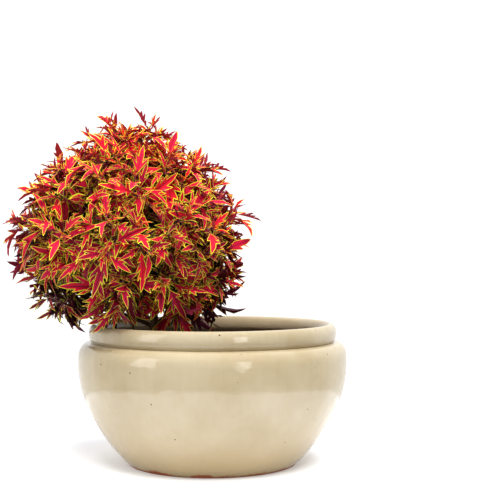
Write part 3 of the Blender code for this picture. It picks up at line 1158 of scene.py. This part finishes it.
@dataclass
class Crown:
    """The mound of foliage, grown from the limbs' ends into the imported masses.

    The numbers left in its methods are the plant's habits: shares, and spreads of seeded draws.
    """

    stems: Stems
    bowl: Bowl
    draw: np.random.Generator
    room: tuple[Array, Array]
    small_length: float = 0.021
    stalk_radius: float = 0.6 * MM
    tip_radius: float = 0.55 * MM
    least_branch: float = 0.9 * MM
    branch_taper: float = 0.84
    fork_at: Range = (0.30, 0.45)
    fork_straightening: float = 0.65
    fork_wander: float = 1.5 * MM
    arc_pull: float = 0.38
    tip_rise: float = 0.55
    tip_rise_lost_low: float = 0.75
    tip_wander: float = 0.16
    gap: float = 1.2 * MM
    tip_gap: float = 8 * MM
    proud: float = 0.006
    points_per_mass: int = 1200
    least_outward: float = 0.3
    outward_pull: float = 1.2
    sunk_top: float = 0.014
    sunk_left: float = 0.009
    sunk_low: float = 0.032
    full_right: float = 0.010
    lowest_hanging: float = 0.242
    limb_leaves_apart: float = 0.014
    limb_leaves_from: float = 0.232
    limb_leaf_length: Range = (0.030, 0.048)
    # Levels of the painted light and shade that tint_at turns into leaf tints.
    sun: float = 0.75
    sun_upwards: float = 0.42
    sun_rightwards: float = 0.05
    sun_spread: float = 0.14
    tint_limits: tuple[float, ...] = (-0.86, -0.68, -0.42, -0.20, 0.02)
    vigours: Range = (0.86, 1.14)
    folds: Range = (0.20, 0.75)
    twist_spread: float = 0.40
    sway_spread: float = 0.10
    widths: Range = (0.80, 1.15)
    ruffle_depth: float = 0.20
    ruffle_waves: float = 1.9
    bend_parts: int = 12
    bend_power: float = 1.6
    fitting_rounds: int = 4
    fitting_push: float = 0.3
    fitting_shrink: float = 0.85
    leaves_at_once: int = 100
    centre: Array = field(init=False)
    semi: Array = field(init=False)
    masses: list[str] = field(init=False)
    shoots: list[Shoot] = field(default_factory=list)
    leaves: dict[tuple[int, Leaves, int], list[Array]] = field(default_factory=dict)
    twigs: Gathered = field(default_factory=Gathered)
    petioles: Gathered = field(default_factory=Gathered)

    def __post_init__(self) -> None:
        """Reads the crown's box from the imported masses."""
        self.masses = sorted(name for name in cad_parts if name.startswith("foliage"))
        boxes = np.array([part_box(name) for name in self.masses])
        low, high = boxes[:, 0].min(axis=0), boxes[:, 1].max(axis=0)
        self.centre, self.semi = (low + high) / 2, (high - low) / 2

    def outward(self, places: Array) -> Array:
        """Directions away from the crown's middle at some places."""
        return unit((places - self.centre) / self.semi)

    def surface_points(self, name: str) -> tuple[Array, Array]:
        """Draws points on the part of a packed mass that faces out of the crown.

        Args:
            name: The mass.

        Returns:
            The points, and the directions that they face.
        """
        mesh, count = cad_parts[name].data, self.points_per_mass
        corners = np.array([[mesh.vertices[number].co[:] for number in face.vertices]
                            for face in mesh.polygons])
        normals = np.cross(corners[:, 1] - corners[:, 0], corners[:, 2] - corners[:, 0])
        areas = np.linalg.norm(normals, axis=1)
        chosen = self.draw.choice(len(corners), count, p=areas / areas.sum())
        shares = self.draw.random((count, 2))
        over = shares.sum(axis=1) > 1
        shares[over] = 1 - shares[over]
        picked = corners[chosen]
        places = (picked[:, 0] + shares[:, :1] * (picked[:, 1] - picked[:, 0])
                  + shares[:, 1:] * (picked[:, 2] - picked[:, 0]))
        facing = unit(normals[chosen])
        out = self.outward(places)
        keep = (facing * out).sum(axis=1) > self.least_outward
        return places[keep], unit(facing[keep] + self.outward_pull * out[keep])

    def sunk(self, places: Array) -> Array:
        """How much deeper the tips lie than their layer asks.

        They lie deeper at the top, at the left and most of all low on the left, and less deep on the
        upper right.

        Args:
            places: Points on the masses.

        Returns:
            Depths, one row each.
        """
        out = self.outward(places)
        low = np.clip(-0.2 - 2 * (places[:, 2] - self.centre[2]) / self.semi[2], 0, 1)
        deeper = (self.sunk_top * np.clip(out[:, 2], 0, 1) ** 1.5
                  - self.full_right * np.clip(out[:, 0], 0, 1) ** 2 * np.clip(3 * out[:, 2], 0, 1)
                  + self.sunk_left * np.clip(-out[:, 0], 0, 1) ** 2 * (1 - low)
                  + self.sunk_low * low * np.clip(-2 * out[:, 0], 0, 1))
        return deeper[:, None]

    def sites(self) -> dict[str, list[Tip]]:
        """Spreads the shoots' tips over the crown, layer by layer, and more loosely where it hangs.

        Returns:
            The tips that each mass holds. None of them hangs lower than lowest_hanging.
        """
        names: list[str] = []
        drawn = []
        for name in self.masses:
            found, ways = self.surface_points(name)
            names += [name] * len(found)
            drawn.append(np.hstack([found, ways]))
        places, facing = np.split(np.concatenate(drawn), 2, axis=1)
        made: dict[str, list[Tip]] = {name: [] for name in self.masses}
        others = np.empty((0, 3))
        sunk = self.sunk(places)
        for member in Layers:
            layer = member.value
            tips = places - facing * (self.draw.uniform(*layer.depth, (len(places), 1)) + sunk)
            kept = np.empty((0, 3))
            for number in self.draw.permutation(len(tips)):
                tip, hanging = tips[number], "hanging" in names[number]
                if hanging and tip[2] < self.lowest_hanging:
                    continue
                apart = np.linalg.norm(kept - tip, axis=1).min(initial=1.0)
                clear = np.linalg.norm(others - tip, axis=1).min(initial=1.0)
                if (apart > layer.apart * (layer.hanging_apart if hanging else 1)
                        and clear > layer.clear and not self.bowl.meets(tip, self.tip_gap)):
                    kept = np.vstack([kept, tip])
                    made[names[number]].append(Tip(tip, facing[number], layer))
            others = np.vstack([others, kept])
            LOG.info("%s: %d shoots", member.name.lower(), len(kept))
        return made

    def grow(self) -> None:
        """Branches every limb out to the tips in its mass."""
        tips = self.sites()
        for name in self.masses:
            limb = self.stems.limbs.get(name.replace("foliage", "bough"), self.stems.limbs["main_stem"])
            heading = unit(limb.points[-1] - limb.points[-2])
            self.branch(limb.points, heading, limb.radii[-1], tips[name])

    def dress_limbs(self) -> None:
        """Sets a pair of hanging leaves, in the darkest tints as painted shade, at each node of the main stem
        and the boughs.
        """
        for limb in self.stems.limbs.values():
            line = limb.finer(self.limb_leaves_apart)
            along = unit(np.gradient(line.points, axis=0))
            side = unit(np.cross(along[0], self.draw.normal(0, 1, 3)))
            for number, (place, way) in enumerate(zip(line.points[1:], along[1:])):
                if place[2] < self.limb_leaves_from:
                    continue
                turn = QUARTER * number + self.draw.normal(0, 0.3)
                for flip in (0, math.pi):
                    across = around(way, side, turn + flip)
                    out = unit(across + 0.3 * way - up(self.draw.uniform(0.1, 0.5)))
                    face = unit(np.cross(out, np.cross(way + up(0.8), out)))
                    # The two darkest tints: painted shade inside the crown.
                    tint = len(Tint) - 1 - int(self.draw.random() < 0.4)
                    self.leaf(Leaves.FEW_LOBED, tint, place, out, face,
                              self.draw.uniform(*self.limb_leaf_length), self.draw.uniform(10, 60))

    def branch(self, trail: Array, heading: Array, radius: float, tips: list[Tip]) -> None:
        """Parts a limb in two, again and again, until each twig has one tip.

        Args:
            trail: The points that the limb has come through.
            heading: The direction it has there.
            radius: Its radius there.
            tips: The tips that it feeds.
        """
        if not tips:
            return
        if len(tips) == 1:
            self.twig(trail, heading, radius, tips[0])
            return
        start = trail[-1]
        places = np.array([tip.place for tip in tips])
        middle = places.mean(axis=0)
        spread = np.linalg.svd(places - middle, full_matrices=False)[2][0]
        order = np.argsort((places - middle) @ spread)
        half = len(tips) // 2
        for part in (order[:half], order[half:]):
            target = places[part].mean(axis=0)
            share = self.draw.uniform(*self.fork_at)
            bend = start + heading * np.linalg.norm(target - start) * share
            fork = bend + (start + (target - start) * share - bend) * self.fork_straightening
            fork = fork + self.draw.normal(0, self.fork_wander, 3)
            finer = max(radius * self.branch_taper, self.least_branch)
            line = self.arc(start, heading, fork, unit(target - fork), 5)
            self.add_tube(self.twigs, line, np.linspace(radius, finer, len(line)), 5)
            self.branch(np.vstack([trail, line[1:]]), unit(target - fork), finer,
                        [tips[number] for number in part])

    def add_tube(self, lot: Gathered, line: Array, radii: Sequence[float], sides: int) -> bool:
        """Adds a thin stem to some gathered ones, unless it would touch the bowl or the ground.

        Args:
            lot: The gathered stems.
            line: Its middle points.
            radii: Its radius at each of them.
            sides: Number of sides.

        Returns:
            Whether it was added.
        """
        shape, triangles = tube(line, radii, sides)
        if self.bowl.meets(shape, self.gap).any():
            return False
        lot.add(shape, triangles)
        return True

    def arc(self, start: Array, heading: Array, end: Array, final: Array, count: int) -> Array:
        """Points on a smooth curve that leaves and arrives in given directions.

        Args:
            start: First point.
            heading: Direction there.
            end: Last point.
            final: Direction there.
            count: Number of points.

        Returns:
            The points, one row each.
        """
        reach = np.linalg.norm(end - start) * self.arc_pull
        share = np.linspace(0, 1, count)[:, None]
        first, second = start + heading * reach, end - final * reach
        return ((1 - share) ** 3 * start + 3 * share * (1 - share) ** 2 * first
                + 3 * share ** 2 * (1 - share) * second + share ** 3 * end)

    def twig(self, trail: Array, heading: Array, radius: float, tip: Tip) -> None:
        """Grows the last twig to a tip, and notes the shoot at its end.

        Args:
            trail: The points that the limb has come through, up to the twig's start.
            heading: The direction it has there.
            radius: Its radius there.
            tip: Its tip.
        """
        low = float(np.clip(-0.15 - (tip.place[2] - self.centre[2]) / self.semi[2], 0, 1))
        lean = up(self.tip_rise - self.tip_rise_lost_low * low)
        axis = unit(tip.facing + lean + self.draw.normal(0, self.tip_wander, 3))
        line = self.arc(trail[-1], heading, tip.place, axis, 8)
        if self.add_tube(self.twigs, line, np.linspace(radius, self.tip_radius, len(line)), 5):
            tint = self.tint_at(tip.place, tip.layer)
            path = np.vstack([trail, line[1:]])
            self.shoots.append(Shoot(path, tint, self.draw.uniform(*self.vigours), low, tip.layer))

    def tint_at(self, place: Array, layer: Layer) -> int:
        """Chooses a spray's tint as painted light and shade: flame high up, maroon low down and inside.

        Args:
            place: The shoot's tip.
            layer: Its layer.

        Returns:
            The tint's number.
        """
        x, _, z = (place - self.centre) / self.semi
        # Painted light and shade: the level rises upwards and to the right, falls in deeper layers, with a
        # random spread.
        sun = (self.sun + self.sun_upwards * z + self.sun_rightwards * x
               + self.draw.normal(0, self.sun_spread) - layer.shade)
        return int(np.searchsorted(self.tint_limits, -sun))

    def leaf(self, family: Leaves, tint: int, foot: Array, way: Array, face: Array, length: float,
             curl_degrees: float) -> None:
        """Notes one leaf, with its own fold, twist, sway, ruffle and width.

        Args:
            family: The family that its shape comes from.
            tint: Its tint's number.
            foot: Where its blade starts.
            way: The direction that it points in.
            face: The direction that its upper side faces.
            length: Its length.
            curl_degrees: How far its tip bends down.
        """
        form = int(self.draw.integers(len(family.value)))
        own = [length, math.radians(curl_degrees), self.draw.uniform(*self.folds),
               self.draw.normal(0, self.twist_spread), self.draw.normal(0, self.sway_spread),
               self.draw.uniform(0, 1), self.draw.uniform(*self.widths)]
        self.leaves.setdefault((tint, family, form), []).append(np.concatenate([foot, way, face, own]))

    def clothe(self) -> None:
        """Sets leaves on every shoot, in opposite pairs that turn a quarter from node to node."""
        for shoot in self.shoots:
            backwards = shoot.path[::-1]
            from_tip = run_along(backwards)
            axis = unit(backwards[0] - backwards[1])
            side = unit(np.cross(axis, self.draw.normal(0, 1, 3)))
            for number, offset in enumerate(shoot.layer.offsets):
                place = np.array([np.interp(offset, from_tip, along) for along in backwards.T])
                turn = QUARTER * number + self.draw.normal(0, 0.16)
                for flip in (0, math.pi):
                    self.pair_leaf(shoot, number, place, axis, around(axis, side, turn + flip))
            self.young_leaves(shoot, backwards[0], axis, side)

    def pair_leaf(self, shoot: Shoot, number: int, place: Array, axis: Array, across: Array) -> None:
        """Sets one leaf of a pair, with its petiole, and at times a small leaf in its armpit.

        Args:
            shoot: The shoot.
            number: The pair's number, from the tip.
            place: The node.
            axis: The shoot's direction.
            across: The direction, across the shoot, in which the leaf stands.
        """
        layer = shoot.layer
        lift = math.radians(layer.lifts[number] + self.draw.normal(0, 9))
        way = across * math.cos(lift) + axis * math.sin(lift)
        drop = (0.10 + 0.16 * number) * self.draw.uniform(0.6, 1.3) + 0.30 * shoot.low
        way = unit(way - up(drop))
        face = axis - way * (axis @ way) + up(0.35)
        face = unit(face - way * (face @ way))
        length = layer.leaf_length * layer.sizes[number] * shoot.vigour * self.draw.uniform(0.84, 1.16)
        stalk = length * self.draw.uniform(0.12, 0.22)
        foot = place + way * stalk
        curl = 14 + 12 * number + self.draw.normal(0, 14)
        # Pairs further from the tip more often take the next darker tint: partly random tone, partly painted
        # shade deeper in the crown.
        tint = min(shoot.tint + int(self.draw.random() < 0.15 + 0.10 * number), len(Tint) - 1)
        self.leaf(layer.families[number], tint, foot, way, face, length, curl)
        radius = self.stalk_radius
        line = np.array([place, place + way * stalk * 0.5 + face * radius, foot + way * radius * 2])
        self.add_tube(self.petioles, line, [1.2 * radius, 0.9 * radius, radius], 3)
        if number and self.draw.random() < layer.armpits:
            way = unit(0.6 * across + axis + self.draw.normal(0, 0.45, 3))
            face = unit(np.cross(way, np.cross(axis + up(0.4), way)))
            self.leaf(Leaves.LANCE, tint, place, way, face, self.small_length * self.draw.uniform(0.55, 1.2),
                      self.draw.uniform(0, 50))

    def young_leaves(self, shoot: Shoot, tip: Array, axis: Array, side: Array) -> None:
        """Sets the tuft of curled young leaves at a shoot's tip.

        Args:
            shoot: The shoot.
            tip: The shoot's tip.
            axis: Its direction there.
            side: A direction across it.
        """
        for number in range(shoot.layer.tuft):
            across = around(axis, side, QUARTER * number + self.draw.normal(0, 0.3))
            way = unit(axis + across * self.draw.uniform(0.25, 0.8))
            face = unit(np.cross(way, np.cross(axis - 0.8 * across, way)))
            self.leaf(Leaves.LANCE, shoot.tint, tip, way, face,
                      self.small_length * self.draw.uniform(0.4, 0.8), self.draw.uniform(-40, 30))

    def posed(self, form: Array, rows: Array) -> Array:
        """Bends a flat leaf into each of its poses, most strongly towards its tip.

        Args:
            form: The flat leaf's points.
            rows: One row for each leaf, as leaf() notes them.

        Returns:
            Points, as (leaves, points, 3).
        """
        foot, way, face, own = rows[:, :3], rows[:, 3:6], rows[:, 6:9], rows[:, 9:]
        length, curl, fold, twist, sway, phase, width = (own[:, number:number + 1] for number in range(7))
        x, y, z = (form[None, :, number] for number in range(3))
        across = x * length * width
        ruffle = self.ruffle_depth * np.sin(2 * np.pi * (self.ruffle_waves * y + phase)) * np.sign(x)
        lift = z * length + np.abs(across) * np.tan(fold) + across * ruffle
        wrung = twist * y
        across, lift = (across * np.cos(wrung) - lift * np.sin(wrung),
                        across * np.sin(wrung) + lift * np.cos(wrung))
        parts = self.bend_parts
        bend = curl * np.linspace(0, 1, parts + 1) ** self.bend_power
        middle = (bend[:, 1:] + bend[:, :-1]) / 2
        nil = np.zeros((len(rows), 1))
        at = np.clip((y[0] * parts).astype(int), 0, parts - 1)
        past = y[0] * parts - at
        ahead, below = (np.hstack([nil, np.cumsum(share(middle), axis=1)]) / parts
                        for share in (np.cos, np.sin))
        ahead, below = ((run[:, at] * (1 - past) + run[:, at + 1] * past) * length
                        for run in (ahead, below))
        angle = curl * np.maximum(y, 0) ** self.bend_power
        across = across + sway * length * y ** 2
        side = np.cross(way, face)
        return (foot[:, None] + across[..., None] * side[:, None]
                + (ahead + lift * np.sin(angle))[..., None] * way[:, None]
                + (lift * np.cos(angle) - below)[..., None] * face[:, None])

    def misplaced(self, form: Array, rows: Array) -> Flags:
        """Tells which leaves touch the bowl or the ground, or reach out of the room they have.

        Args:
            form: The flat leaf's points.
            rows: One row for each leaf.

        Returns:
            True for each such leaf.
        """
        places = self.posed(form, rows)
        low, high = self.room
        out = (places < low - self.proud) | (places > high + self.proud)
        return self.bowl.meets(places, self.gap).any(axis=1) | out.any(axis=(1, 2))

    def fitted(self, form: Array, rows: Array) -> Array:
        """Lifts and shortens leaves that are misplaced, and drops those that still are.

        Args:
            form: The flat leaf's points.
            rows: One row for each leaf.

        Returns:
            The rows that are kept, changed where they had to be.
        """
        for _ in range(self.fitting_rounds):
            bad = self.misplaced(form, rows)
            away = unit(rows[bad, :3] * np.array([1, 1, 0]))
            outside = np.hypot(rows[bad, 0], rows[bad, 1])[:, None] > self.bowl.lip_radius
            push = np.where(outside, away, -away) * self.fitting_push + up(self.fitting_push)
            rows[bad, 3:6] = unit(rows[bad, 3:6] + push)
            facing = rows[bad, 6:9]
            facing = facing - rows[bad, 3:6] * (facing * rows[bad, 3:6]).sum(axis=1, keepdims=True)
            rows[bad, 6:9] = unit(facing)
            rows[bad, 9] *= self.fitting_shrink
        return rows[~self.misplaced(form, rows)]

    def build(self) -> None:
        """Makes the pieces: each tint's leaves of each family, petioles and twigs."""
        words = {Leaves.CUT: "cut_leaves", Leaves.FEW_LOBED: "few_lobed_leaves", Leaves.LANCE: "small_leaves"}
        skins = [tint.materials() for tint in Tint]
        for family, word in words.items():
            forms = [shape.build() for shape in family.value]
            for number, tint in enumerate(Tint):
                gathered = Gathered()
                for form, (places, triangles, kinds) in enumerate(forms):
                    rows = self.leaves.get((number, family, form), [])
                    if rows:
                        kept = self.fitted(places, np.array(rows))
                        for lot in np.array_split(kept, len(kept) // self.leaves_at_once + 1):
                            gathered.add(self.posed(places, lot), triangles, kinds)
                gathered.pieces(f"{word}_{tint.name.lower()}", skins[number], self.masses, "coleus_leaf")
        for lot, name, skin, colour in ((self.petioles, "leaf_stalks", "leaf_stalk", "#a2587c"),
                                        (self.twigs, "twigs", "green_twig", "#7c4a40")):
            lot.pieces(name, [living_skin(skin, colour)], self.masses, "coleus_stem")


# ---------------------------------------------------------------- studio


@dataclass
class Studio:
    """A white floor in a white room, under one wide soft light, with two tall bright windows."""

    distance: float = 1.75
    eye_height: float = 0.3376
    eye_side: float = 0.0592
    lens_mm: float = 78.8
    sensor_mm: float = 36.0
    floor_reach: float = 0.52
    floor_sides: int = 96
    floor_sharp_degrees: float = 40
    floor_glow: float = 0.2
    front_light: float = 0.24
    front_ends: float = -0.3
    back_light: float = 0.95
    back_starts: float = 0.5
    sun_light: float = 3.5
    sun_degrees: float = 42.0
    sun_place: Spot = (0.25, -0.95, 2.35)
    windows: tuple[tuple[str, Spot, Range, float], ...] = (
        ("left_window", (-1.0, -0.75, 0.65), (0.46, 1.1), 3.2),
        ("right_window", (0.86, -1.69, 0.65), (0.36, 1.2), 4.0),
    )

    def camera(self) -> None:
        """Sets a level camera that looks along +Y."""
        data = bpy.data.cameras.new("camera")
        data.lens, data.sensor_width = self.lens_mm, self.sensor_mm
        made = put("camera", data)
        made.location = (self.eye_side, -self.distance, self.eye_height)
        made.rotation_euler = (math.radians(90), 0, 0)
        bpy.context.scene.camera = made

    def floor(self) -> None:
        """Lays the floor, a round table top of white paper with a faint tooth, lit a little from below."""
        build = bmesh.new()
        bmesh.ops.create_circle(build, cap_ends=True, segments=self.floor_sides, radius=self.floor_reach)
        mesh = smooth(mesh_from("floor", build), self.floor_sharp_degrees)
        wiring = bare_material("white_paper")
        tooth = wiring.waves(wiring.place(), 2.0)
        mesh.materials.append(wiring.finish(
            Base_Color="#f0f2f7", Roughness=1.0, Specular_IOR_Level=0.0,
            Normal=wiring.bump(tooth, 0.1, 0.1), Emission_Color="#ffffff",
            Emission_Strength=self.floor_glow))
        made = put("floor", mesh)
        made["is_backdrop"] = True

    def light(self, data: bpy.types.Light, place: Spot, aim: Spot) -> bpy.types.Object:
        """Hangs one light.

        Args:
            data: The light.
            place: Where it is.
            aim: The point that it faces.

        Returns:
            The light's object.
        """
        made = put(data.name, data)
        made.location = place
        made.rotation_euler = (Vector(aim) - Vector(place)).to_track_quat("-Z", "Y").to_euler()
        return made

    def window(self, name: str, place: Spot, size: Range, watts: float) -> None:
        """Stands up a tall soft box that faces the bowl.

        Args:
            name: Its name.
            place: Where it is.
            size: Its width and height.
            watts: Its power.
        """
        data = bpy.data.lights.new(name, "AREA")
        data.shape, data.energy = "RECTANGLE", watts
        data.size, data.size_y = size
        self.light(data, place, (0, 0, place[2]))

    def room(self) -> None:
        """Makes the white room, whose back wall is the brighter one, and which is pure white to look at."""
        wiring = Wiring(bpy.data.worlds.new("white_room"), "Background")
        way = wiring.add("SeparateXYZ", {0: wiring.add("TexCoord", output="Generated")}, "Y")
        wall = wiring.span(way, self.front_ends, self.back_starts, self.front_light, self.back_light)
        seen = wiring.add("LightPath", output="Is Camera Ray")
        bpy.context.scene.world = wiring.finish(Color="#ffffff",
                                                Strength=wiring.math("MAXIMUM", wall, seen))

    def build(self) -> None:
        """Sets up camera, floor, room and lights."""
        view = bpy.context.scene.view_settings
        view.view_transform, view.look = "Standard", "Medium High Contrast"
        self.camera()
        self.floor()
        self.room()
        sun = bpy.data.lights.new("soft_key", "SUN")
        sun.energy, sun.angle = self.sun_light, math.radians(self.sun_degrees)
        self.light(sun, self.sun_place, (0, 0, 0)).visible_glossy = False
        for window in self.windows:
            self.window(*window)


def main() -> None:
    """Builds bowl, potting mix, stems, crown and studio, in that order."""
    logging.basicConfig(level=logging.INFO, format="%(name)s: %(message)s")
    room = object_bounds()
    draw = np.random.default_rng(SEED)
    bowl = Bowl()
    bowl.build()
    MixBed(bowl, draw).build()
    stems = Stems()
    stems.read()
    stems.build()
    crown = Crown(stems, bowl, draw, (np.array(room[0]), np.array(room[1])))
    crown.grow()
    crown.clothe()
    crown.dress_limbs()
    crown.build()
    Studio().build()


if __name__ == "__main__":
    main()
